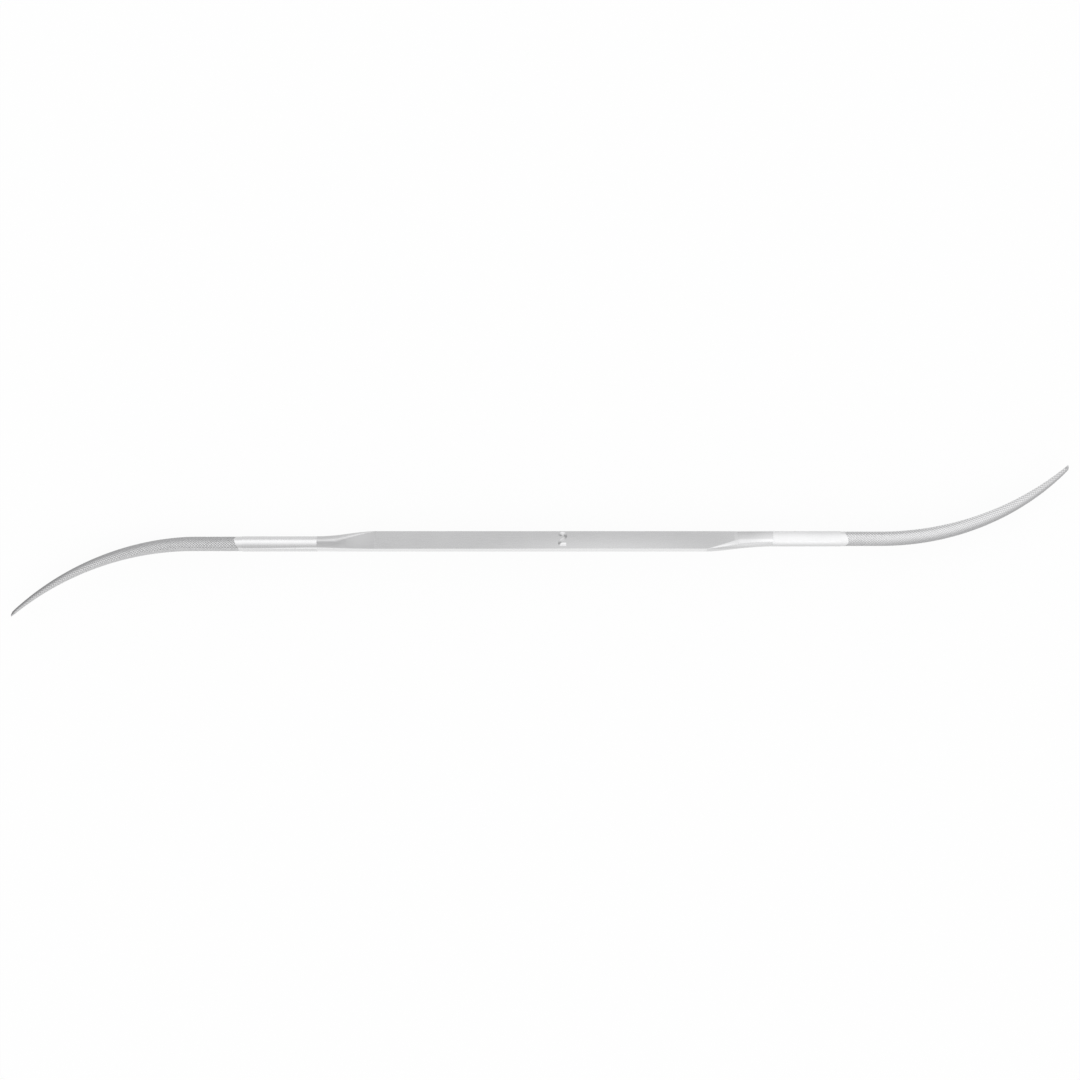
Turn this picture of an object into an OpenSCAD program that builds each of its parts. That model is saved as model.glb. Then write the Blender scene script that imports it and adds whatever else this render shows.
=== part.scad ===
// Riffler file: a double-ended bent file, forged and ground from one length of steel bar.
// X runs along the bar, Y across it in the plane of the bends, and Z is up.
// The file lies on its side, with the middle of the bar's lower side face at the origin.
// Lengths are in millimetres and angles in degrees.

/* [Handle bar] */
// Length of the bar at its full section, between the shoulders
bar_length = 56.3; // [30:0.1:90]
// Height of the bar across the plane of the bends
bar_height = 3.05; // [2.8:0.05:5]
// Depth of the bar, square to the plane of the bends
bar_depth = 4.8; // [3.6:0.1:7]
// Bevel broken along the long edges of the bar
bar_bevel = 0.12; // [0.06:0.02:0.4]

/* [Neck section] */
// Height of the neck from its flat to the crown of its round back
neck_height = 2.38; // [1.8:0.02:2.7]
// Height of the upright land between the flat and the round back
neck_land = 0.2; // [0.1:0.05:0.9]
// Bevel that is left on a shoulder's edges where it meets the neck
neck_bevel = 0.04; // [0.02:0.01:0.1]
// Depth by which the cut part is ground below the neck, all round
cut_relief = 0.05; // [0.02:0.01:0.15]

/* [Left end] */
// Length over which the bar runs down to the neck
left_shoulder_length = 10; // [5:0.1:20]
// Length over which the shoulder's sides are ground down, from the bar
left_grind_length = 6.8; // [3:0.1:15]
// Height of the sides at the end of that grinding
left_grind_land = 1.25; // [0.3:0.05:1.8]
// Length of the ground neck
left_neck_length = 12.7; // [6:0.1:30]
// Straight length of the cut part, from the neck to the bend
left_heel_length = 8.3; // [4:0.1:15]
// Radius to which the flat is bent
left_bend_radius = 47.9; // [30:0.1:80]
// Angle through which the end is bent
left_bend_angle = 40.2; // [20:0.1:60]
// Belly of the taper: 1 is a straight taper, and more keeps the section full for longer
left_belly = 1.3; // [1:0.05:4]
// Height of the section behind the point
left_tip_height = 0.49; // [0.3:0.01:1.5]
// Length of the rounding that closes the point
left_point_length = 1.1; // [0.5:0.1:4]

/* [Right end] */
// Length over which the bar runs down to the neck
right_shoulder_length = 11.2; // [5:0.1:20]
// Length over which the shoulder's sides are ground down, from the bar
right_grind_length = 5.6; // [3:0.1:15]
// Height of the sides at the end of that grinding
right_grind_land = 1.3; // [0.3:0.05:1.8]
// Length of the ground neck
right_neck_length = 11.5; // [6:0.1:30]
// Straight length of the cut part, from the neck to the bend
right_heel_length = 6.8; // [4:0.1:15]
// Radius to which the flat is bent
right_bend_radius = 50.3; // [30:0.1:80]
// Angle through which the end is bent
right_bend_angle = 39.6; // [20:0.1:60]
// Belly of the taper: 1 is a straight taper, and more keeps the section full for longer
right_belly = 2.45; // [1:0.05:4]
// Height of the section behind the point
right_tip_height = 0.64; // [0.3:0.01:1.5]
// Length of the rounding that closes the point
right_point_length = 0.8; // [0.5:0.1:4]

/* [Teeth] */
// Distance from one row of teeth to the next, along the file
tooth_pitch = 0.36; // [0.32:0.02:0.8]
// Depth of the gullet between two rows, at the heel
tooth_depth = 0.1; // [0.04:0.01:0.16]
// Share of the pitch that the steep cutting face takes
tooth_face_share = 0.25; // [0.15:0.05:0.45]
// Angle of the rows away from square across the file
tooth_skew = 20; // [0:1:30]
// Least uncut length between the neck and the first row
cut_margin = 0.15; // [0.1:0.05:1]

/* [Hidden] */
$fn = 96;

// Facets round the back of a lofted section, and stations along a shoulder
back_steps = 8;
shoulder_steps = 16;
// Stations along the rounded point
point_steps = 5;
// Greatest share of a shoulder's width that its rounded corners take, so that its crown stays a narrow strip
widest_back = 0.98;
// How late the sides of a shoulder drop from the end of their grinding to the neck: 1 is evenly
run_out = 6;

bar_colour = [0.60, 0.61, 0.62];
neck_colour = [0.86, 0.87, 0.88];
cut_colour = [0.52, 0.53, 0.54];

half_width = bar_depth / 2;
shoulder_x = bar_length / 2;
left_neck_x = shoulder_x + left_shoulder_length;
right_neck_x = shoulder_x + right_shoulder_length;
left_heel_x = left_neck_x + left_neck_length;
right_heel_x = right_neck_x + right_neck_length;

// The cut part is the neck's section, ground down by the relief
cut_height = neck_height - 2 * cut_relief;
cut_half_width = half_width - cut_relief;
first_row = cut_margin + cut_half_width * tan(tooth_skew);

// Smooth step from 0 to 1
function ease(t) = t * t * (3 - 2 * t);
function mix(a, b, t) = a + (b - a) * t;

// Half of a round back, from the land to the crown, as [across, height] with both from 0 to 1
back_sweep = 2 * atan((neck_height - neck_land) / half_width);
half_back = [for (i = [0:back_steps / 2])
    let (turn = back_sweep * (1 - 2 * i / back_steps))
    [sin(turn) / sin(back_sweep), (cos(turn) - cos(back_sweep)) / (1 - cos(back_sweep))]];

// Half-round section that stands on its flat, with sharp edges
function half_round(half, height, land) =
    let (side = [for (p = half_back) [half * p[0], mix(land, height, p[1])]])
    concat([[-half, 0], [half, 0]], side,
           [for (i = [len(side) - 2:-1:0]) [-side[i][0], side[i][1]]]);

// Bar section whose two upper corners are rounded over the given width, with its lower edges bevelled
function rounded_bar(half, height, land, wide, bevel) =
    let (side = concat([[half - bevel, 0], [half, bevel]],
                       [for (p = half_back) [half - wide * (1 - p[0]), mix(land, height, p[1])]]))
    concat(side, [for (i = [len(side) - 1:-1:0]) [-side[i][0], side[i][1]]]);

// Place of a point on the right-hand side: along X, then across and up from the flat
function on_bar(x, p) = [x, bar_height / 2 - p[1], half_width + p[0]];

// The same for a point that lies s along the flat of an end that starts at x and is bent after its heel
function on_bend(x, s, p, heel, radius) =
    let (turn = max(0, s - heel) / radius * 180 / PI,
         along = x + min(s, heel) + radius * sin(turn),
         y = bar_height / 2 + radius * (1 - cos(turn)))
    [along + p[1] * sin(turn), y - p[1] * cos(turn), half_width + p[0]];

// Closed solid over a list of rings that have the same number of points
module skin(rings) {
    n = len(rings[0]);
    last = len(rings) - 1;
    sides = [for (i = [0:last - 1], j = [0:n - 1])
        let (a = i * n + j, b = i * n + (j + 1) % n)
        each [[a, b, b + n], [a, b + n, a + n]]];
    near_cap = [for (j = [n - 1:-1:0]) j];
    far_cap = [for (j = [0:n - 1]) last * n + j];
    polyhedron([for (ring = rings) each ring], concat([near_cap], sides, [far_cap]));
}

// The left-hand side is the right-hand one turned half round about Z
module left_side() rotate([0, 0, 180]) children();

module handle_bar() {
    h = bar_height / 2;
    color(bar_colour)
        translate([-shoulder_x, 0, half_width])
            rotate([90, 0, 90])
                linear_extrude(bar_length)
                    polygon([for (c = [[1, 1], [-1, 1], [-1, -1], [1, -1]])
                        each c[0] * c[1] > 0
                            ? [[c[0] * h, c[1] * (half_width - bar_bevel)],
                               [c[0] * (h - bar_bevel), c[1] * half_width]]
                            : [[c[0] * (h - bar_bevel), c[1] * half_width],
                               [c[0] * h, c[1] * (half_width - bar_bevel)]]]);
}

// The bar's flat carries on into the neck. Its opposite face is ground down, and the corners of that face
// are rounded off as the sides are ground down to their lands.
module shoulder(length, grind_length, grind_land) {
    grind = min(grind_length, length) / length;
    color(bar_colour)
        skin([for (i = [0:shoulder_steps])
            let (t = i / shoulder_steps,
                 ground = min(1, t / grind),
                 past = t > grind ? (t - grind) / (1 - grind) : 0,
                 bevel = mix(bar_bevel, neck_bevel, t),
                 height = mix(bar_height, neck_height, ease(t)),
                 land = mix(mix(bar_height, grind_land, ground), neck_land, pow(past, run_out)),
                 rise = max(bevel, height - land),
                 wide = max(bevel, half_width * widest_back * ground))
            [for (p = rounded_bar(half_width, height, height - rise, wide, bevel))
                on_bar(shoulder_x + t * length, p)]]);
}

module neck(x, length) {
    rise = neck_height - neck_land;
    back_radius = (half_width * half_width + rise * rise) / (2 * rise);
    color(neck_colour)
        translate([x, bar_height / 2, half_width])
            rotate([90, 0, 90])
                linear_extrude(length)
                    intersection() {
                        translate([back_radius - neck_height, 0])
                            circle(back_radius);
                        translate([-neck_height, -half_width])
                            square([neck_height, bar_depth]);
                    }
}

// Half-round end, tapered to a point and bent towards its flat, with rows of teeth that face the point
module cut_end(x, heel, radius, angle, belly, tip_height, point_length) {
    length = heel + radius * angle * PI / 180;
    tip_share = tip_height / cut_height;
    rows = floor((length - point_length - first_row) / tooth_pitch);
    last_row = first_row + rows * tooth_pitch;

    // Share of the heel's section that is left at s: a bellied taper, closed by the rounded point
    function share(s) =
        let (t = max(0, s - heel) / (length - heel),
             u = min(1, (length - s) / point_length))
        mix(1, tip_share, pow(t, belly)) * sqrt(1 - (1 - u) * (1 - u));

    // Ring at s, cut to the given depth, with its points led along the file by the skew of the rows
    function ring(s, depth, skew) =
        let (k = share(s), d = depth * k,
             section = half_round(cut_half_width * k - d, cut_height * k - 2 * d, neck_land * k))
        [for (p = section)
            on_bend(x, s + p[0] * tan(skew), p + [0, d + cut_relief * k], heel, radius)];

    teeth = [for (i = [0:rows - 1])
        let (crest = first_row + i * tooth_pitch)
        each [ring(crest + tooth_face_share * tooth_pitch, tooth_depth, tooth_skew),
              ring(crest + tooth_pitch, 0, tooth_skew)]];
    point = [for (i = [1:point_steps])
        let (t = sin(90 * i / (point_steps + 1)))
        ring(mix(last_row, length, t), 0, tooth_skew * (1 - t))];
    color(cut_colour)
        skin(concat([ring(0, 0, 0), ring(first_row, 0, tooth_skew)], teeth, point));
}

module left_shoulder() left_side() shoulder(left_shoulder_length, left_grind_length, left_grind_land);
module right_shoulder() shoulder(right_shoulder_length, right_grind_length, right_grind_land);
module left_neck() left_side() neck(left_neck_x, left_neck_length);
module right_neck() neck(right_neck_x, right_neck_length);

module left_cut_end()
    left_side()
        cut_end(left_heel_x, left_heel_length, left_bend_radius, left_bend_angle,
                left_belly, left_tip_height, left_point_length);

module right_cut_end()
    cut_end(right_heel_x, right_heel_length, right_bend_radius, right_bend_angle,
            right_belly, right_tip_height, right_point_length);

handle_bar();
left_shoulder();
right_shoulder();
left_neck();
right_neck();
left_cut_end();
right_cut_end();
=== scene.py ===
"""Looks of a double-ended riffler file: satin bar, bright ground necks and toothed bent ends."""
import math

import bpy
import numpy as np
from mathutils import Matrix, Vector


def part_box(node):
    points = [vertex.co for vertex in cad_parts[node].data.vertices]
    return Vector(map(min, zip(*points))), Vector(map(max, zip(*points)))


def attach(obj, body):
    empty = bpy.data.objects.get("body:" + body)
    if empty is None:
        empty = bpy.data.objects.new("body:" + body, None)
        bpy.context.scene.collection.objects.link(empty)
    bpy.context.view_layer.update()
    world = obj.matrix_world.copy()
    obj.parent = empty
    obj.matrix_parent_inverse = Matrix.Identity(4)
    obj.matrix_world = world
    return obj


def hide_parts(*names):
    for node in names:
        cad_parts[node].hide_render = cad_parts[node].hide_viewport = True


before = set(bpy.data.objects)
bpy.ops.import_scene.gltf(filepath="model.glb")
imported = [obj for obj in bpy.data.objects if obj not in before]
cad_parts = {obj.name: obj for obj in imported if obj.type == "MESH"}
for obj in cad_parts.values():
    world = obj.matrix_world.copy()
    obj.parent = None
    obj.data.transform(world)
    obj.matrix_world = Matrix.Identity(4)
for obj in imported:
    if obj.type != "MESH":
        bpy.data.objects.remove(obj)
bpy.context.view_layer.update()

MM = 0.001
# Points nearer to each other than TINY are one point, and points within ON_PLANE of a plane lie on it
TINY = 0.0001 * MM
ON_PLANE = 0.001 * MM

# Section of the bar, which the frame gives, and of the half-round neck, whose sides lean in
bar_low, bar_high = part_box("handle_bar")
BAR_HEIGHT = bar_high.y - bar_low.y
FLAT_Y = bar_high.y
HALF_WIDTH = (bar_high.z - bar_low.z) / 2
MIDDLE_Z = (bar_high.z + bar_low.z) / 2
NECK_HEIGHT = 2.38 * MM
NECK_LAND = 0.45 * MM
NECK_LEAN = 0.07 * MM
EDGE_ROUNDING = 0.06 * MM

# Steps round the back of a shoulder or neck, along each of them, and round a broken edge
BACK_STEPS = 64
SHOULDER_STEPS = 32
NECK_STEPS = 16
EDGE_STEPS = 4

# Edges that turn by fewer degrees than this are shaded smooth
BAR_SMOOTHING = 24
SHOULDER_SMOOTHING = 50
ROUND_SMOOTHING = 30

# A face has the drawn finish if its normal's Y is more than this, either way on the bar and towards the flat
# on a shoulder
DRAWN_ON_BAR = 0.9
DRAWN_ON_SHOULDER = 0.3

# The cut part is ground a little below the neck, all round. Its flat is what lies within FLAT_DEPTH.
CUT_RELIEF = 0.05 * MM
CUT_HALF_WIDTH = HALF_WIDTH - CUT_RELIEF
CUT_HEIGHT = NECK_HEIGHT - 2 * CUT_RELIEF
CUT_LEAN = 0.02 * MM
CUT_ROUNDING = 0.09 * MM
FLAT_DEPTH = 0.03 * MM

# Cuts across its flat and sides, steps round its back and along its point, and the part of a step by which
# the last ring stops short of the point. Only the sides have edges longer than SIDE_EDGE.
FLAT_CUTS = 44
SIDE_CUTS = 4
CUT_BACK_STEPS = 80
POINT_STEPS = 10
POINT_REST = 0.5
SIDE_EDGE = 0.8 * (NECK_LAND - CUT_ROUNDING)

# Rows of teeth: a main course, whose steep faces take a share of the pitch, and a shallower one that crosses
# it, with lands between its rows
TOOTH_PITCH = 0.47 * MM
TOOTH_DEPTH = 0.09 * MM
TOOTH_SKEW = math.radians(44)
TOOTH_FACE_SHARE = 0.3
CROSS_PITCH = 0.47 * MM
CROSS_DEPTH = 0.08 * MM
CROSS_SKEW = math.radians(45)
CROSS_LAND_SHARE = 0.3
RINGS_PER_TOOTH = 7
TEETH_PER_STATION = 4
WEIGHT_LEVELS = 16

# The rows get shallower within this distance of the flat's edges, down to this share of their depth
CORNER_REACH = 0.2 * MM
CORNER_CUT = 0.5

# Painted shade starts in a gullet, and is full, at these shares of its depth, and each course darkens it
# this far
GULLET_START = 0.25
GULLET_FULL = 0.75
GULLET_SHADE = 0.55

# The sides' painted shade ends this deep below the flat, fades over this depth, and ends at this share of
# the bend
SIDE_DARK_DEPTH = 1.5 * NECK_LAND
SIDE_DARK_FADE = 0.6 * NECK_LAND
SIDE_DARK_BEND = 0.5

# The ground finish runs a little way into the cut part, furthest on the shoulders of the round back
GROUND_MARGIN = 0.65 * MM
GROUND_BULGE = 0.75 * MM

# The two ends, each with its turn about Z:
# - heel, radius, angle, belly, tip_height and point: its straight heel, bend, taper and rounded point
# - darkened: how far painted shade darkens its flat, its sides near the heel, and its crown at the heel and
#   the point
# - painted_shade_depth: shares of its depth from which the painted shade on its crown starts, at the heel
#   and at the point, and at which it is full
# - wear: shares of the length of the bend, with what is left of the teeth there and how much painted shade
#   is added to them
# - grind and grind_land: the length over which the shoulder's sides are ground down, and what is left of
#   them. The neck is ground deeper than that.
# - shoulder_lean, shoulder_rounding and neck_rounding: shares of the length of the shoulder, counted from
#   the bar, or of the neck, counted from the shoulder, with the sides' lean inwards or the rounding of the
#   flat's edges there, in mm
ENDS = {
    "left": dict(turn=math.pi, heel=8.3 * MM, radius=47.9 * MM, angle=math.radians(40.2), belly=1.3,
                 tip_height=0.49 * MM, point=1.1 * MM,
                 painted_shade=(0.2, 0.1, 0.55, 1.0), painted_shade_depth=(0.4, 0.1, 0.8),
                 wear=((0, 0.4, 0.65, 1), (0.85, 0.85, 0.65, 0.5), (0.06, 0.06, 0, 0)),
                 grind=6.8 * MM, grind_land=1.25 * MM,
                 shoulder_lean=((0, 0.35, 0.65, 0.9, 1), (0, 0, 0.11, 0.12, 0.07)),
                 shoulder_rounding=((0, 0.3, 0.65, 0.85, 1), (0.06, 0.06, 0.2, 0.34, 0.36)),
                 neck_rounding=((0, 0.25, 0.45, 0.65, 1), (0.36, 0.32, 0.2, 0.1, 0.08))),
    "right": dict(turn=0.0, heel=6.8 * MM, radius=50.3 * MM, angle=math.radians(39.6), belly=2.45,
                  tip_height=0.64 * MM, point=0.8 * MM,
                  painted_shade=(0.2, 0.33, 0.42, 0.55), painted_shade_depth=(0.42, 0.5, 0.95),
                  wear=((0, 0.12, 0.4, 1), (0.82, 0.7, 0.62, 0.5), (0.12, 0.27, 0.22, 0.05)),
                  grind=5.6 * MM, grind_land=1.3 * MM,
                  shoulder_lean=((0, 0.5, 1), (0, 0.07, 0.07)),
                  shoulder_rounding=((0, 0.2, 0.5, 0.8, 1), (0.06, 0.06, 0.16, 0.1, 0.08)),
                  neck_rounding=((0, 1), (0.1, 0.08))),
}

# Line of the plain 2 stamped into the upper face of the bar, in mm, with half the width and the depth of its
# groove, and the steps from each of its points to the next
GRADE_LINE = ((3.14, 0.72), (3.24, 0.96), (3.46, 1.11), (3.76, 1.1), (4.01, 0.92), (4.1, 0.68), (4.03, 0.46),
              (3.85, 0.26), (3.52, 0.0), (3.26, -0.22), (3.14, -0.46), (3.17, -0.66), (3.3, -0.72),
              (3.7, -0.72), (4.22, -0.72))
GRADE_STROKE = 0.27 * MM
GRADE_DEPTH = 0.125 * MM
GRADE_STEPS = 6

# Middle, half-length, half-height and slope of the patches that are painted brighter as reflections, and
# their grey
PAINTED_REFLECTION_BAR = (dict(X=11.3 * MM, Y=-1.9 * MM, Length=26 * MM, Height=3.4 * MM), 0.68)
PAINTED_REFLECTION_LEFT = (dict(X=-31 * MM, Y=0.6 * MM, Length=5.5 * MM, Height=3.5 * MM), 0.59)
PAINTED_REFLECTION_RIGHT = (dict(X=39.6 * MM, Y=-0.6 * MM, Length=5 * MM, Height=5 * MM), 0.66)
PAINTED_REFLECTION_CORNER = (dict(X=36 * MM, Y=-0.62 * MM, Length=9 * MM, Height=0.45 * MM, Slope=0.08), 0.75)
PAINTED_REFLECTION_BACK = (dict(X=45 * MM, Y=-0.41 * MM, Length=40 * MM, Height=0.47 * MM), 0.82)

# Grey of the shade painted on the toothed ends, and the little blue in every grey
PAINTED_SHADE_TONE = 0.2
BLUE_TINT = 0.005

# Light that comes from each direction round the file's length, by degrees from straight above towards the
# back, and the share of it that is left towards the two ends, with the leans between which it fades
LIGHT_AROUND = ((-180, 1.0), (-125, 1.3), (-100, 1.62), (-75, 1.62), (-50, 1.56), (-25, 1.36), (-10, 1.22),
                (0, 1.06), (8, 0.92), (16, 0.82), (26, 0.8), (34, 0.88), (42, 1.06), (52, 1.34), (62, 1.54),
                (74, 1.64), (88, 1.58), (100, 1.3), (130, 1.0), (180, 1.0))
BRIGHTEST_LIGHT = 1.7
END_LIGHT = 0.42
END_LIGHT_FADE = (0.2, 0.95)

# The floor lies a little below the file, so that the two don't share a plane. It is a matt grey, which shows
# through its glow where the floor is looked at.
FLOOR_SIZE = 8
FLOOR_GAP = 0.01 * MM
FLOOR_GREY = 0.9
FLOOR_ROUGHNESS = 0.9
FLOOR_GLOW = 0.93

# The photograph holds this width of the object, seen from a little in front of straight above
FRAME_WIDTH = 183.74 * MM
FRAME_MIDDLE = (-0.22 * MM, 0.23 * MM)
VIEW_TILT = math.radians(5.5)
VIEW_REACH = 20
LENS = 200.0
SENSOR = 36.0


def hold(piece):
    """Makes this the one selected object."""
    if bpy.context.object and bpy.context.object.mode != "OBJECT":
        bpy.ops.object.mode_set(mode="OBJECT")
    bpy.ops.object.select_all(action="DESELECT")
    if piece:
        piece.select_set(True)
        bpy.context.view_layer.objects.active = piece


def points_of(piece):
    """Places of the points, as rows of x, y and z."""
    places = np.empty(len(piece.data.vertices) * 3)
    piece.data.vertices.foreach_get("co", places)
    return places.reshape(-1, 3)


def edges_of(piece):
    """Places of the two ends of every edge."""
    ends = np.empty(len(piece.data.edges) * 2, int)
    piece.data.edges.foreach_get("vertices", ends)
    places = points_of(piece)[ends.reshape(-1, 2)]
    return places[:, 0], places[:, 1]


def faces_of(piece):
    """Middles of the faces."""
    middles = np.empty(len(piece.data.polygons) * 3)
    piece.data.polygons.foreach_get("center", middles)
    return middles.reshape(-1, 3)


def kinds_of(piece):
    return {"VERT": piece.data.vertices, "EDGE": piece.data.edges, "FACE": piece.data.polygons}


def pick(piece, kind, chosen):
    """Leaves only the chosen points, edges or faces selected, in edit mode."""
    hold(piece)
    kinds = kinds_of(piece)
    for name, items in kinds.items():
        items.foreach_set("select", chosen if name == kind else np.zeros(len(items), bool))
    bpy.context.tool_settings.mesh_select_mode = [name == kind for name in kinds]
    bpy.ops.object.mode_set(mode="EDIT")


def pick_all(piece, kind):
    pick(piece, kind, np.ones(len(kinds_of(piece)[kind]), bool))


def pick_furthest_face(piece, distances):
    pick(piece, "FACE", distances == distances.max())


def extrude_along(x):
    bpy.ops.mesh.extrude_region_move(TRANSFORM_OT_translate={"value": (x, 0, 0)})


def turn_faces_out(piece):
    """Turns all faces outwards, and leaves edit mode."""
    bpy.ops.mesh.select_all(action="SELECT")
    bpy.ops.mesh.normals_make_consistent(inside=False)
    hold(piece)


def half_round_face(name, half_width, height, land, lean, back_steps):
    """Section at x = 0. Its flat lies on y = 0, its sides lean in, and its back is round towards -Y."""
    rise = height - land
    half_back = half_width - lean
    radius = (half_back ** 2 + rise ** 2) / (2 * rise)
    sweep = 4 * math.atan(rise / half_back)

    def chord(a, b):
        return np.isclose(a[:, 1], -land, atol=ON_PLANE) & np.isclose(b[:, 1], -land, atol=ON_PLANE)

    hold(None)
    bpy.ops.mesh.primitive_circle_add(
        vertices=round(back_steps * 2 * math.pi / sweep), radius=radius, fill_type="NGON",
        location=(0, radius - height, 0), rotation=(0, math.pi / 2, 0))
    piece = bpy.context.object
    piece.name = name
    bpy.ops.object.transform_apply(location=True, rotation=True, scale=True)
    pick_all(piece, "FACE")
    bpy.ops.mesh.bisect(plane_co=(0, -land, 0), plane_no=(0, 1, 0), clear_outer=True, threshold=TINY)
    hold(piece)
    pick(piece, "EDGE", chord(*edges_of(piece)))
    bpy.ops.mesh.extrude_region_move(TRANSFORM_OT_translate={"value": (0, land, 0)})
    bpy.ops.transform.resize(value=(1, 1, half_width / half_back), center_override=(0, 0, 0))
    turn_faces_out(piece)
    pick(piece, "EDGE", chord(*edges_of(piece)))
    bpy.ops.mesh.dissolve_edges(use_verts=False)
    hold(piece)
    return piece


def apply_modifiers(piece):
    hold(piece)
    for modifier in list(piece.modifiers):
        bpy.ops.object.modifier_apply(modifier=modifier.name)


def break_long_edges(piece, rounding):
    """Takes the two end faces off, rounds the long edges and closes the ends again.

    rounding takes the two ends of every edge and gives the radius of each, which is 0 where it stays."""
    hold(piece)
    x = faces_of(piece)[:, 0]
    pick(piece, "FACE", np.isclose(x, x.min(), atol=ON_PLANE) | np.isclose(x, x.max(), atol=ON_PLANE))
    bpy.ops.mesh.delete(type="ONLY_FACE")
    hold(piece)
    radii = rounding(*edges_of(piece))
    weights = piece.data.attributes.new("bevel_weight_edge", "FLOAT", "EDGE")
    weights.data.foreach_set("value", (radii / radii.max()).astype(np.float32))
    bevel = piece.modifiers.new("broken edges", "BEVEL")
    bevel.width = radii.max()
    bevel.segments = EDGE_STEPS
    bevel.limit_method = "WEIGHT"
    apply_modifiers(piece)
    piece.data.attributes.remove(piece.data.attributes["bevel_weight_edge"])
    pick_all(piece, "VERT")
    bpy.ops.mesh.remove_doubles(threshold=TINY)
    bpy.ops.mesh.fill_holes(sides=0)
    turn_faces_out(piece)


def along_file(a, b):
    return np.abs(a[:, 0] - b[:, 0]) > TINY


def flat_edges(a, b):
    """The two long edges of the flat, on a piece that is modelled with its flat on y = 0."""
    return along_file(a, b) & (a[:, 1] > -TINY) & (b[:, 1] > -TINY)


def smooth(piece, degrees):
    hold(piece)
    bpy.ops.object.shade_smooth_by_angle(angle=math.radians(degrees))


def even_shading(piece):
    """Keeps the wide faces flat beside their small bevels."""
    weighted = piece.modifiers.new("even shading", "WEIGHTED_NORMAL")
    weighted.keep_sharp = True
    apply_modifiers(piece)


def put_in_place(piece, x, side):
    """Moves a piece that was modelled with its flat on y = 0 to its place on the right or left."""
    turn = ENDS[side]["turn"]
    hold(piece)
    piece.location = (math.cos(turn) * x, math.cos(turn) * FLAT_Y, MIDDLE_Z)
    piece.rotation_euler = (0, 0, turn)
    bpy.ops.object.transform_apply(location=True, rotation=True, scale=True)


def finish_piece(piece, node, slot, *materials):
    for material in materials:
        piece.data.materials.append(material)
    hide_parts(node)
    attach(piece, "root")


def ease(t):
    """Smooth step from 0 to 1."""
    return t * t * (3 - 2 * t)


def near_x(node):
    """Distance from the middle of the file to the nearer end of a node."""
    low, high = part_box(node)
    return min(abs(low.x), abs(high.x))


def length_of(node):
    low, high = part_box(node)
    return high.x - low.x


def make_bar(side_material, edge_material):
    hold(None)
    bpy.ops.mesh.primitive_cube_add(size=1, location=(bar_low + bar_high) / 2, scale=bar_high - bar_low)
    bar = bpy.context.object
    bar.name = "bar"
    bpy.ops.object.transform_apply(location=True, rotation=True, scale=True)
    break_long_edges(bar, lambda a, b: EDGE_ROUNDING * along_file(a, b))
    stamp_grade(bar)
    smooth(bar, BAR_SMOOTHING)
    even_shading(bar)
    finish_piece(bar, "handle_bar", "bar_steel", side_material, edge_material)
    for face in bar.data.polygons:
        face.material_index = int(abs(face.normal.y) > DRAWN_ON_BAR)


def stamp_grade(bar):
    """Sinks the grade number into the upper face of the bar, as a groove with sloping sides."""
    hold(None)
    bpy.ops.curve.primitive_bezier_curve_add(location=(0, 0, bar_high.z))
    punch = bpy.context.object
    points = punch.data.splines[0].bezier_points
    points.add(len(GRADE_LINE) - len(points))
    for point, (x, y) in zip(points, GRADE_LINE):
        point.co = (x * MM, y * MM, 0)
        point.handle_left_type = point.handle_right_type = "AUTO"
    punch.data.twist_mode = "Z_UP"
    punch.data.bevel_depth = GRADE_STROKE
    punch.data.bevel_resolution = 0
    punch.data.resolution_u = GRADE_STEPS
    punch.data.use_fill_caps = True
    bpy.ops.object.convert(target="MESH")
    punch = bpy.context.object
    bpy.ops.object.transform_apply(location=True, rotation=True, scale=True)
    pick_all(punch, "VERT")
    bpy.ops.mesh.remove_doubles(threshold=TINY)
    bpy.ops.mesh.normals_make_consistent(inside=False)
    bpy.ops.transform.resize(value=(1, 1, GRADE_DEPTH / GRADE_STROKE), center_override=(0, 0, bar_high.z))
    hold(bar)
    stamp = bar.modifiers.new("stamped grade", "BOOLEAN")
    stamp.operation = "DIFFERENCE"
    stamp.solver = "EXACT"
    stamp.use_self = True
    stamp.object = punch
    apply_modifiers(bar)
    bpy.data.objects.remove(punch)
    pick_all(bar, "VERT")
    bpy.ops.mesh.remove_doubles(threshold=TINY)
    hold(bar)


def shoulder_section(end, length, s):
    """Height, rise and half-width of the back, and lean of the sides, at s from the bar."""
    height = BAR_HEIGHT + (NECK_HEIGHT - BAR_HEIGHT) * ease(s / length)
    ground = min(1, s / end["grind"])
    land = BAR_HEIGHT + (end["grind_land"] - BAR_HEIGHT) * ground
    rise = max(EDGE_ROUNDING, height - land)
    lean = np.interp(s / length, *end["shoulder_lean"]) * MM
    wide = max(EDGE_ROUNDING, (HALF_WIDTH - lean) * ground)
    return height, rise, wide, lean


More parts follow.
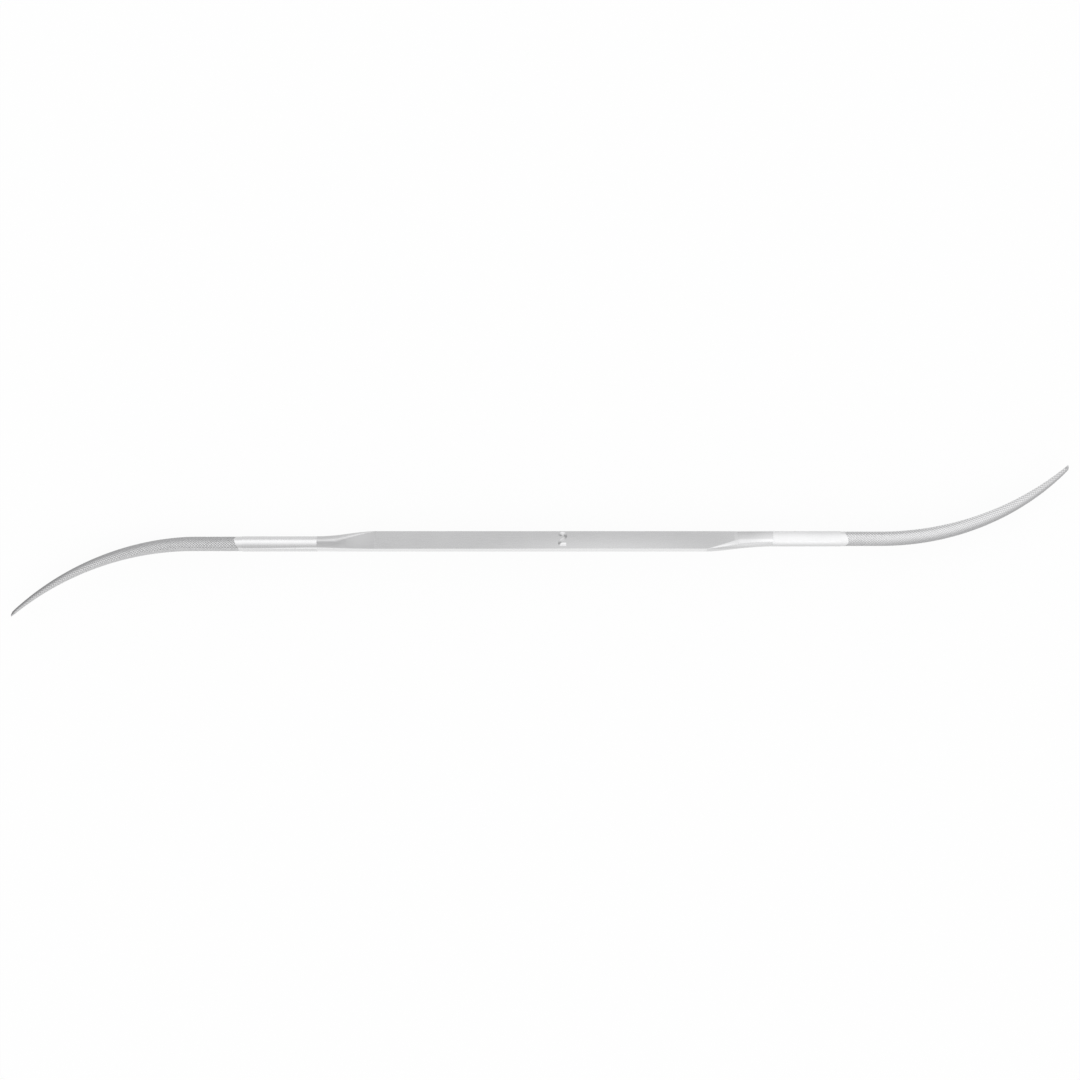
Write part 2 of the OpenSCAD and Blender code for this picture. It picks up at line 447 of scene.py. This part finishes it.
def make_shoulder(side, material, flat_material):
    """Grows from the neck to the bar's section: the back rises while its rounded corners shrink."""
    end = ENDS[side]
    node = side + "_shoulder"
    length = length_of(node)
    step = length / SHOULDER_STEPS
    piece = half_round_face(node + "_steel", HALF_WIDTH, NECK_HEIGHT, NECK_LAND, NECK_LEAN, BACK_STEPS)
    old_height, old_rise, old_wide, old_lean = (
        NECK_HEIGHT, NECK_HEIGHT - NECK_LAND, HALF_WIDTH - NECK_LEAN, NECK_LEAN)
    for i in range(SHOULDER_STEPS + 1):
        height, rise, wide, lean = shoulder_section(end, length, length - i * step)
        if i:
            pick_furthest_face(piece, -faces_of(piece)[:, 0])
            extrude_along(-step)
            hold(piece)
        places = points_of(piece)
        back = (places[:, 0] < (0.5 - i) * step) & (places[:, 1] < -NECK_LAND / 2)
        pick(piece, "VERT", back)
        bpy.ops.transform.resize(value=(1, rise / old_rise, 1), center_override=(0, -old_height, 0))
        bpy.ops.transform.translate(value=(0, old_height - height, 0))
        for sign in (1, -1):
            pick(piece, "VERT", back & (sign * places[:, 2] > TINY))
            bpy.ops.transform.resize(value=(1, 1, wide / old_wide),
                                     center_override=(0, 0, sign * (HALF_WIDTH - old_lean)))
            bpy.ops.transform.translate(value=(0, 0, sign * (old_lean - lean)))
        hold(piece)
        old_height, old_rise, old_wide, old_lean = height, rise, wide, lean
    break_long_edges(piece, lambda a, b: flat_edges(a, b) * MM * np.interp(
        1 + (a[:, 0] + b[:, 0]) / 2 / length, *end["shoulder_rounding"]))
    smooth(piece, SHOULDER_SMOOTHING)
    even_shading(piece)
    for face in piece.data.polygons:
        face.material_index = int(face.normal.y > DRAWN_ON_SHOULDER)
    put_in_place(piece, near_x(node) + length, side)
    finish_piece(piece, node, "bar_steel", material, flat_material)


def make_neck(side, material):
    """Runs from the shoulder to the cut end. The edges of its flat get sharper on the way."""
    end = ENDS[side]
    node = side + "_neck"
    length = length_of(node)
    piece = half_round_face(node + "_steel", HALF_WIDTH, NECK_HEIGHT, NECK_LAND, NECK_LEAN, BACK_STEPS)
    for _ in range(NECK_STEPS):
        pick_furthest_face(piece, faces_of(piece)[:, 0])
        extrude_along(length / NECK_STEPS)
        hold(piece)
    break_long_edges(piece, lambda a, b: flat_edges(a, b) * MM * np.interp(
        (a[:, 0] + b[:, 0]) / 2 / length, *end["neck_rounding"]))
    smooth(piece, ROUND_SMOOTHING)
    even_shading(piece)
    put_in_place(piece, near_x(node), side)
    finish_piece(piece, node, "ground_steel", material)


def section_share(end, s):
    """Share of the heel's section that is left at s past the start of the bend."""
    length = end["radius"] * end["angle"]
    taper = (np.clip(s, 0, length) / length) ** end["belly"]
    from_point = np.clip((length - s) / end["point"], 0, 1)
    return (1 + (end["tip_height"] / CUT_HEIGHT - 1) * taper) * np.sqrt(1 - (1 - from_point) ** 2)


def grow_ring(piece, end, s, new_s):
    """Draws the end out from s to new_s, with the section that belongs there, and gives new_s."""
    hold(piece)
    pick_furthest_face(piece, faces_of(piece)[:, 0])
    extrude_along(new_s - s)
    ratio = section_share(end, new_s) / section_share(end, s)
    bpy.ops.transform.resize(value=(1, ratio, ratio), center_override=(0, 0, 0))
    return new_s


def cut_section(name):
    """Section of the cut part, with its edges rounded and its flat and sides cut up finely, in edit mode."""
    piece = half_round_face(name, CUT_HALF_WIDTH, CUT_HEIGHT, NECK_LAND, CUT_LEAN, CUT_BACK_STEPS)
    pick(piece, "VERT", points_of(piece)[:, 1] > -TINY)
    bpy.ops.mesh.bevel(offset=CUT_ROUNDING, segments=EDGE_STEPS, affect="VERTICES")
    hold(piece)
    pick_all(piece, "FACE")
    bpy.ops.mesh.delete(type="ONLY_FACE")
    hold(piece)
    a, b = edges_of(piece)
    pick(piece, "EDGE", (a[:, 1] > -TINY) & (b[:, 1] > -TINY))
    bpy.ops.mesh.subdivide(number_cuts=FLAT_CUTS)
    hold(piece)
    a, b = edges_of(piece)
    pick(piece, "EDGE", np.linalg.norm(a - b, axis=1) > SIDE_EDGE)
    bpy.ops.mesh.subdivide(number_cuts=SIDE_CUTS)
    bpy.ops.mesh.select_all(action="SELECT")
    bpy.ops.mesh.edge_face_add()
    return piece


def straight_end(side):
    """The cut end before it is bent: tapered, half-round and full of rings. Its bend starts at x = 0."""
    end = ENDS[side]
    length = end["radius"] * end["angle"]
    piece = cut_section(side + "_cut_steel")
    s = -end["heel"]
    bpy.ops.transform.translate(value=(s, -CUT_RELIEF, 0))
    stations = round((length - end["point"] - s) / (TOOTH_PITCH * TEETH_PER_STATION))
    station = (length - end["point"] - s) / stations
    for _ in range(stations):
        s = grow_ring(piece, end, s, s + station)
    hold(piece)
    a, b = edges_of(piece)
    pick(piece, "EDGE", np.abs(a[:, 0] - b[:, 0]) > station / 2)
    bpy.ops.mesh.subdivide(number_cuts=TEETH_PER_STATION * RINGS_PER_TOOTH - 1)
    point_start = s
    for i in range(1, POINT_STEPS + 1):
        t = math.sin(math.pi / 2 * i / (POINT_STEPS + POINT_REST))
        s = grow_ring(piece, end, s, point_start + (length - point_start) * t)
    turn_faces_out(piece)
    return piece


def past_ground_margin(end, places):
    """How far each place lies past the line where the ground finish of the neck stops."""
    bulge = 2 * np.abs(places[:, 1] * places[:, 2]) / HALF_WIDTH ** 2
    return places[:, 0] + end["heel"] - GROUND_MARGIN - GROUND_BULGE * bulge


def sink(piece, name, depth, weights):
    """Presses the points in along their normals, by the depth times their weights."""
    group = piece.vertex_groups.new(name=name)
    levels = np.rint(weights * WEIGHT_LEVELS).astype(int)
    for level in range(1, WEIGHT_LEVELS + 1):
        group.add(np.flatnonzero(levels == level).tolist(), level / WEIGHT_LEVELS, "REPLACE")
    displace = piece.modifiers.new(name, "DISPLACE")
    displace.vertex_group = name
    displace.strength = -depth
    displace.mid_level = 0
    apply_modifiers(piece)
    piece.vertex_groups.clear()


def round_the_section(across, depth):
    """Distance round the heel's section from the crown, or from the middle of the flat."""
    rise, half_back = CUT_HEIGHT - NECK_LAND, CUT_HALF_WIDTH - CUT_LEAN
    radius = (half_back ** 2 + rise ** 2) / (2 * rise)
    return np.where(depth < FLAT_DEPTH, across, radius * np.arctan2(across, depth - CUT_HEIGHT + radius))


def part_of_pitch(distance, pitch):
    """Share of the pitch by which each distance is past the last row."""
    part = distance / pitch
    return part - np.floor(part)


def gullet_shade(rows):
    """How much shade is painted into a gullet of one course, by the share of its depth."""
    return np.clip((rows - GULLET_START) / (GULLET_FULL - GULLET_START), 0, 1)


def painted_shade_at(end, bent, depth):
    """How much shade is painted on places at these shares of the bend and depths below the flat."""
    on_flat, on_sides, at_heel, at_point = end["painted_shade"]
    from_heel, from_point, full = end["painted_shade_depth"]
    start = from_heel + (from_point - from_heel) * bent
    outer = ease(np.clip((depth / CUT_HEIGHT - start) / (full - start), 0, 1))
    inner = ease(np.clip((SIDE_DARK_DEPTH - depth) / SIDE_DARK_FADE, 0, 1))
    inner = inner * np.clip(1 - bent / SIDE_DARK_BEND, 0, 1)
    on_round = outer * (at_heel + (at_point - at_heel) * bent ** 2) + inner * on_sides
    return np.where(depth < FLAT_DEPTH, on_flat, on_round)


def store(piece, name, values):
    """Keeps a value for each point, which the materials read."""
    attribute = piece.data.attributes.new(name, "FLOAT", "POINT")
    attribute.data.foreach_set("value", values.astype(np.float32))


def cut_teeth(piece, end):
    """Main rows with their steep faces towards the point, then the shallower rows across them."""
    places = points_of(piece)
    x = places[:, 0]
    share = section_share(end, x)
    depth = -places[:, 1] / share - CUT_RELIEF
    across = places[:, 2] / share
    around = share * round_the_section(across, depth)
    part = part_of_pitch(x - around * math.tan(TOOTH_SKEW), TOOTH_PITCH)
    rows = np.clip(np.minimum(part / TOOTH_FACE_SHARE, (1 - part) / (1 - TOOTH_FACE_SHARE)), 0, 1)
    part = part_of_pitch(x + around * math.tan(CROSS_SKEW), CROSS_PITCH)
    cross_rows = np.clip((1 - np.abs(2 * part - 1) - CROSS_LAND_SHARE) / (1 - CROSS_LAND_SHARE), 0, 1)

    toothed = past_ground_margin(end, places) > 0
    bent = np.clip(x / (end["radius"] * end["angle"]), 0, 1)
    stations, left_over, added_gullet_shade = end["wear"]
    crisp = np.interp(bent, stations, left_over)
    # Painted shade in the gullets, with its contrast cut where the teeth are worn and more of it added along
    # the bend
    dark = np.clip(GULLET_SHADE * (gullet_shade(rows) + gullet_shade(cross_rows)), 0, 1)
    even = dark[toothed].mean()
    dark = toothed * np.clip(even + (dark - even) * crisp + np.interp(bent, stations, added_gullet_shade), 0, 1)
    store(piece, "gullet", dark)
    # Shade painted on the flat, on the sides near the heel and on the crown
    store(piece, "painted_shade", painted_shade_at(end, bent, depth))
    on_ground = past_ground_margin(end, faces_of(piece)) < 0
    piece.data.polygons.foreach_set("material_index", on_ground.astype(np.int32))

    from_corner = np.hypot(depth, CUT_HALF_WIDTH - np.abs(across))
    cut = toothed * crisp * np.sqrt(share) * np.clip(from_corner / CORNER_REACH, CORNER_CUT, 1)
    sink(piece, "main rows", TOOTH_DEPTH, cut * rows)
    sink(piece, "cross rows", CROSS_DEPTH, cut * cross_rows)


def bend(piece, end):
    """Bends everything past x = 0 towards +Y, about the flat."""
    x = points_of(piece)[:, 0]
    curl = piece.modifiers.new("bend", "SIMPLE_DEFORM")
    curl.deform_method = "BEND"
    curl.deform_axis = "Z"
    curl.limits = (-x.min() / (x.max() - x.min()), 1)
    curl.angle = x.max() / end["radius"]
    apply_modifiers(piece)


def make_cut_end(side, cut_material, ground_material):
    """Draws out the straight end, cuts its teeth and bends it."""
    end = ENDS[side]
    node = side + "_cut_end"
    piece = straight_end(side)
    piece.data.materials.append(cut_material)
    piece.data.materials.append(ground_material)
    cut_teeth(piece, end)
    bend(piece, end)
    smooth(piece, ROUND_SMOOTHING)
    put_in_place(piece, near_x(node) + end["heel"], side)
    finish_piece(piece, node, "cut_steel")


def feed(tree, value, socket):
    """Links a socket to another one, or sets it to a number or colour."""
    if isinstance(value, bpy.types.NodeSocket):
        tree.links.new(value, socket)
    else:
        socket.default_value = value


def math_of(tree, operation, *values):
    """What a math operation makes of one or two sockets, as a socket."""
    node = tree.nodes.new("ShaderNodeMath")
    node.operation = operation
    for value, socket in zip(values, node.inputs):
        feed(tree, value, socket)
    return node.outputs["Value"]


def map_range(tree, value, from_range=(0, 1), to_range=(0, 1), interpolation="LINEAR"):
    """A socket's value carried from one range to another, as a socket."""
    node = tree.nodes.new("ShaderNodeMapRange")
    node.interpolation_type = interpolation
    node.inputs["From Min"].default_value, node.inputs["From Max"].default_value = from_range
    node.inputs["To Min"].default_value, node.inputs["To Max"].default_value = to_range
    feed(tree, value, node.inputs["Value"])
    return node.outputs["Result"]


def spread_noise(tree, place, scale, detail, roughness, levels):
    """Noise of which the part between two levels is drawn out to 0 and 1, as a socket."""
    noise = tree.nodes.new("ShaderNodeTexNoise")
    noise.inputs["Detail"].default_value = detail
    noise.inputs["Roughness"].default_value = roughness
    feed(tree, place, noise.inputs["Vector"])
    feed(tree, scale, noise.inputs["Scale"])
    return map_range(tree, noise.outputs["Fac"], from_range=levels)


def object_place(tree):
    return tree.nodes.new("ShaderNodeTexCoord").outputs["Object"]


def add_group(name, inputs, outputs):
    """An empty node group with these numbers in and out. Gives it, its inputs and its outputs."""
    group = bpy.data.node_groups.new(name, "ShaderNodeTree")
    for label in inputs:
        group.interface.new_socket(label, in_out="INPUT", socket_type="NodeSocketFloat")
    for label in outputs:
        group.interface.new_socket(label, in_out="OUTPUT", socket_type="NodeSocketFloat")
    return group, group.nodes.new("NodeGroupInput").outputs, group.nodes.new("NodeGroupOutput").inputs


def steel_grain():
    """Fine grinding lines, drawn out along or across the file by the two scales."""
    group, given, out = add_group("steel grain", ["Along", "Across"], ["Lines"])
    scale = group.nodes.new("ShaderNodeCombineXYZ")
    for axis, label in (("X", "Along"), ("Y", "Across"), ("Z", "Across")):
        feed(group, given[label], scale.inputs[axis])
    stretched = group.nodes.new("ShaderNodeVectorMath")
    stretched.operation = "MULTIPLY"
    feed(group, object_place(group), stretched.inputs[0])
    feed(group, scale.outputs["Vector"], stretched.inputs[1])
    lines = spread_noise(group, stretched.outputs["Vector"], scale=1, detail=3, roughness=0.6,
                         levels=(0.3, 0.7))
    feed(group, lines, out["Lines"])
    return group


def handling_marks():
    """Faint cloudy patches that handling leaves on bare steel."""
    group, given, out = add_group("handling marks", ["Size"], ["Patches"])
    patches = spread_noise(group, object_place(group), scale=given["Size"], detail=4, roughness=0.55,
                           levels=(0.35, 0.65))
    feed(group, patches, out["Patches"])
    return group


def painted_reflection_patch():
    """A soft round patch of painted reflection, of the given middle, half sizes and slope, seen along Z."""
    group, given, out = add_group("rubbed patch", ["X", "Y", "Length", "Height", "Slope"], ["Patch"])
    split = group.nodes.new("ShaderNodeSeparateXYZ")
    feed(group, object_place(group), split.inputs["Vector"])
    along = math_of(group, "SUBTRACT", split.outputs["X"], given["X"])
    up = math_of(group, "SUBTRACT", split.outputs["Y"], given["Y"])
    up = math_of(group, "SUBTRACT", up, math_of(group, "MULTIPLY", along, given["Slope"]))
    reach = group.nodes.new("ShaderNodeCombineXYZ")
    feed(group, math_of(group, "DIVIDE", along, given["Length"]), reach.inputs["X"])
    feed(group, math_of(group, "DIVIDE", up, given["Height"]), reach.inputs["Y"])
    distance = group.nodes.new("ShaderNodeVectorMath")
    distance.operation = "LENGTH"
    feed(group, reach.outputs["Vector"], distance.inputs[0])
    patch = map_range(group, distance.outputs["Value"], from_range=(1, 0), interpolation="SMOOTHSTEP")
    feed(group, patch, out["Patch"])
    return group


def place_group(tree, group, **values):
    """A node group with these values in it. Gives what it puts out."""
    node = tree.nodes.new("ShaderNodeGroup")
    node.node_tree = group
    for label, value in values.items():
        node.inputs[label].default_value = value
    return node.outputs


def blend_colours(tree, value, low, high):
    """A colour from low to high, by a value from 0 to 1. Either may be a colour or a socket."""
    mix = tree.nodes.new("ShaderNodeMix")
    mix.data_type = "RGBA"
    feed(tree, value, mix.inputs["Factor"])
    for colour, socket in zip((low, high), [s for s in mix.inputs if s.type == "RGBA"]):
        feed(tree, colour, socket)
    return [s for s in mix.outputs if s.type == "RGBA"][0]


def grey(level):
    return level, level, level + BLUE_TINT, 1


def steel(name, groups, along, across, size, tones, roughness, bump_strength, bump_depth):
    """Bare steel with grinding lines and handling marks. Gives the material and its colour.

    along, across and size are the scales of the lines and the patches. The tones are the greys of the
    dull and the bright patches and of the lines."""
    material = bpy.data.materials.new(name)
    material.use_nodes = True
    tree = material.node_tree
    surface = tree.nodes["Principled BSDF"]
    surface.inputs["Metallic"].default_value = 1
    lines = place_group(tree, groups["grain"], Along=along, Across=across)["Lines"]
    patches = place_group(tree, groups["marks"], Size=size)["Patches"]
    cloudy = blend_colours(tree, patches, grey(tones[0]), grey(tones[1]))
    colour = blend_colours(tree, lines, cloudy, grey(tones[2]))
    feed(tree, colour, surface.inputs["Base Color"])
    feed(tree, map_range(tree, lines, to_range=roughness), surface.inputs["Roughness"])
    bump = tree.nodes.new("ShaderNodeBump")
    bump.inputs["Strength"].default_value = bump_strength
    bump.inputs["Distance"].default_value = bump_depth
    feed(tree, lines, bump.inputs["Height"])
    feed(tree, bump.outputs["Normal"], surface.inputs["Normal"])
    return material, colour


def recolour(tree, mask, colour, tone):
    """Blends the colour towards a grey by the mask, and gives the new colour."""
    colour = blend_colours(tree, mask, colour, grey(tone))
    feed(tree, colour, tree.nodes["Principled BSDF"].inputs["Base Color"])
    return colour


def paint_reflections(groups, material, colour, *patches):
    """Paints reflections on a steel by brightening its patches, and gives the material."""
    tree = material.node_tree
    for patch, tone in patches:
        colour = recolour(tree, place_group(tree, groups["painted_reflection"], **patch)["Patch"], colour, tone)
    return material


def satin_steel(groups):
    made = steel("satin bar steel", groups, along=400, across=9000, size=160, tones=(0.53, 0.56, 0.575),
                 roughness=(0.22, 0.32), bump_strength=0.08, bump_depth=0.02 * MM)
    # Painted reflections: patches of the bar and the right shoulder are painted brighter
    return paint_reflections(groups, *made, PAINTED_REFLECTION_BAR, PAINTED_REFLECTION_RIGHT, PAINTED_REFLECTION_CORNER)


def dull_steel(groups):
    made = steel("dull shoulder steel", groups, along=600, across=9000, size=160, tones=(0.475, 0.515, 0.55),
                 roughness=(0.3, 0.46), bump_strength=0.2, bump_depth=0.02 * MM)
    # Painted reflection: a patch of the left shoulder is painted brighter
    return paint_reflections(groups, *made, PAINTED_REFLECTION_LEFT)


def drawn_steel(groups):
    made = steel("drawn bar edge", groups, along=200, across=9000, size=160, tones=(0.56, 0.60, 0.62),
                 roughness=(0.1, 0.18), bump_strength=0.05, bump_depth=0.01 * MM)
    return paint_reflections(groups, *made)


def ground_steel(groups, name, tones, roughness, *patches):
    made = steel(name, groups, along=9000, across=300, size=260, tones=tones,
                 roughness=roughness, bump_strength=0.1, bump_depth=0.02 * MM)
    return paint_reflections(groups, *made, *patches)


def toothed_steel(groups, name, tones, painted_gullet_tone):
    """Steel with shade painted into its gullets and onto its flat, sides and crown, by the values of its
    points.
    """
    material, colour = steel(name, groups, along=5000, across=5000, size=200, tones=tones,
                             roughness=(0.36, 0.46), bump_strength=0.1, bump_depth=0.01 * MM)
    for values, tone in (("gullet", painted_gullet_tone), ("painted_shade", PAINTED_SHADE_TONE)):
        mask = material.node_tree.nodes.new("ShaderNodeAttribute")
        mask.attribute_name = values
        colour = recolour(material.node_tree, mask.outputs["Fac"], colour, tone)
    return material


def light_the_room():
    """A wide soft light low in front and a narrower one behind, a dim lane overhead and dimmer ends."""
    world = bpy.data.worlds.new("studio")
    bpy.context.scene.world = world
    world.use_nodes = True
    tree = world.node_tree
    background = tree.nodes["Background"]
    background.inputs["Color"].default_value = (1, 1, 1, 1)
    place = tree.nodes.new("ShaderNodeTexCoord")
    split = tree.nodes.new("ShaderNodeSeparateXYZ")
    feed(tree, place.outputs["Generated"], split.inputs["Vector"])
    angle = math_of(tree, "ARCTAN2", split.outputs["Y"], split.outputs["Z"])
    ramp = tree.nodes.new("ShaderNodeValToRGB")
    while len(ramp.color_ramp.elements) < len(LIGHT_AROUND):
        ramp.color_ramp.elements.new(0.5)
    for element, (degrees, light) in zip(ramp.color_ramp.elements, LIGHT_AROUND):
        element.position = (degrees + 180) / 360
        element.color = (light / BRIGHTEST_LIGHT,) * 3 + (1,)
    feed(tree, map_range(tree, angle, from_range=(-math.pi, math.pi)), ramp.inputs["Fac"])
    around = map_range(tree, ramp.outputs["Color"], to_range=(0, BRIGHTEST_LIGHT))
    sideways = math_of(tree, "ABSOLUTE", split.outputs["X"])
    fade = map_range(tree, sideways, END_LIGHT_FADE, (1, END_LIGHT), "SMOOTHSTEP")
    feed(tree, math_of(tree, "MULTIPLY", around, fade), background.inputs["Strength"])


def mix_shaders(tree, factor, first, second):
    node = tree.nodes.new("ShaderNodeMixShader")
    for value, socket in zip((factor, first, second), node.inputs):
        feed(tree, value, socket)
    return node.outputs["Shader"]


def lay_floor():
    """A pale floor that keeps the file's shadow, shows white, and can be looked through from below."""
    hold(None)
    bpy.ops.mesh.primitive_plane_add(size=FLOOR_SIZE, location=(0, 0, -FLOOR_GAP))
    bpy.ops.object.transform_apply(location=True, rotation=True, scale=True)
    floor = bpy.context.object
    floor.name = "floor"
    material = bpy.data.materials.new("pale floor")
    material.use_nodes = True
    tree = material.node_tree
    surface = tree.nodes["Principled BSDF"]
    surface.inputs["Base Color"].default_value = (FLOOR_GREY, FLOOR_GREY, FLOOR_GREY, 1)
    surface.inputs["Roughness"].default_value = FLOOR_ROUGHNESS
    matt = surface.outputs["BSDF"]
    glow = tree.nodes.new("ShaderNodeEmission").outputs["Emission"]
    clear = tree.nodes.new("ShaderNodeBsdfTransparent").outputs["BSDF"]
    ray = tree.nodes.new("ShaderNodeLightPath").outputs
    looked_at = math_of(tree, "MAXIMUM", ray["Is Camera Ray"], ray["Is Glossy Ray"])
    looked_at = math_of(tree, "MAXIMUM", looked_at, ray["Is Transmission Ray"])
    from_above = mix_shaders(tree, looked_at, matt, mix_shaders(tree, FLOOR_GLOW, matt, glow))
    from_below = tree.nodes.new("ShaderNodeNewGeometry").outputs["Backfacing"]
    shown = mix_shaders(tree, from_below, from_above, clear)
    feed(tree, shown, tree.nodes["Material Output"].inputs["Surface"])
    floor.data.materials.append(material)


def set_camera():
    camera = bpy.data.objects.new("camera", bpy.data.cameras.new("camera"))
    bpy.context.scene.collection.objects.link(camera)
    camera.data.lens = LENS
    camera.data.sensor_width = SENSOR
    camera.data.clip_end = VIEW_REACH
    distance = FRAME_WIDTH * LENS / SENSOR
    camera.location = (FRAME_MIDDLE[0], FRAME_MIDDLE[1] - distance * math.sin(VIEW_TILT),
                       MIDDLE_Z + distance * math.cos(VIEW_TILT))
    camera.rotation_euler = (VIEW_TILT, 0, 0)
    bpy.context.scene.camera = camera


set_camera()
light_the_room()
lay_floor()

groups = dict(grain=steel_grain(), marks=handling_marks(), painted_reflection=painted_reflection_patch())
satin, dull, drawn = (make(groups) for make in (satin_steel, dull_steel, drawn_steel))
bright = ground_steel(groups, "bright ground steel", (0.59, 0.63, 0.65), (0.22, 0.32))
# Painted reflection: a band along the right neck is painted brighter
soft = ground_steel(groups, "soft ground steel", (0.63, 0.67, 0.69), (0.36, 0.44), PAINTED_REFLECTION_BACK)
# The two ends' toothed steels differ in how dark the shade painted into their gullets is
teeth_with_deep_painted_shade = toothed_steel(groups, "toothed steel with deep painted shade", (0.86, 0.90, 0.91), 0.3)
teeth_with_light_painted_shade = toothed_steel(groups, "toothed steel with light painted shade", (0.87, 0.9, 0.91), 0.51)

make_bar(satin, drawn)
for side, shoulder_finish, neck_finish, cut_finish in (("left", dull, bright, teeth_with_deep_painted_shade),
                                                       ("right", satin, soft, teeth_with_light_painted_shade)):
    make_shoulder(side, shoulder_finish, drawn)
    make_neck(side, neck_finish)
    make_cut_end(side, cut_finish, neck_finish)

bpy.context.scene.view_settings.view_transform = "Standard"
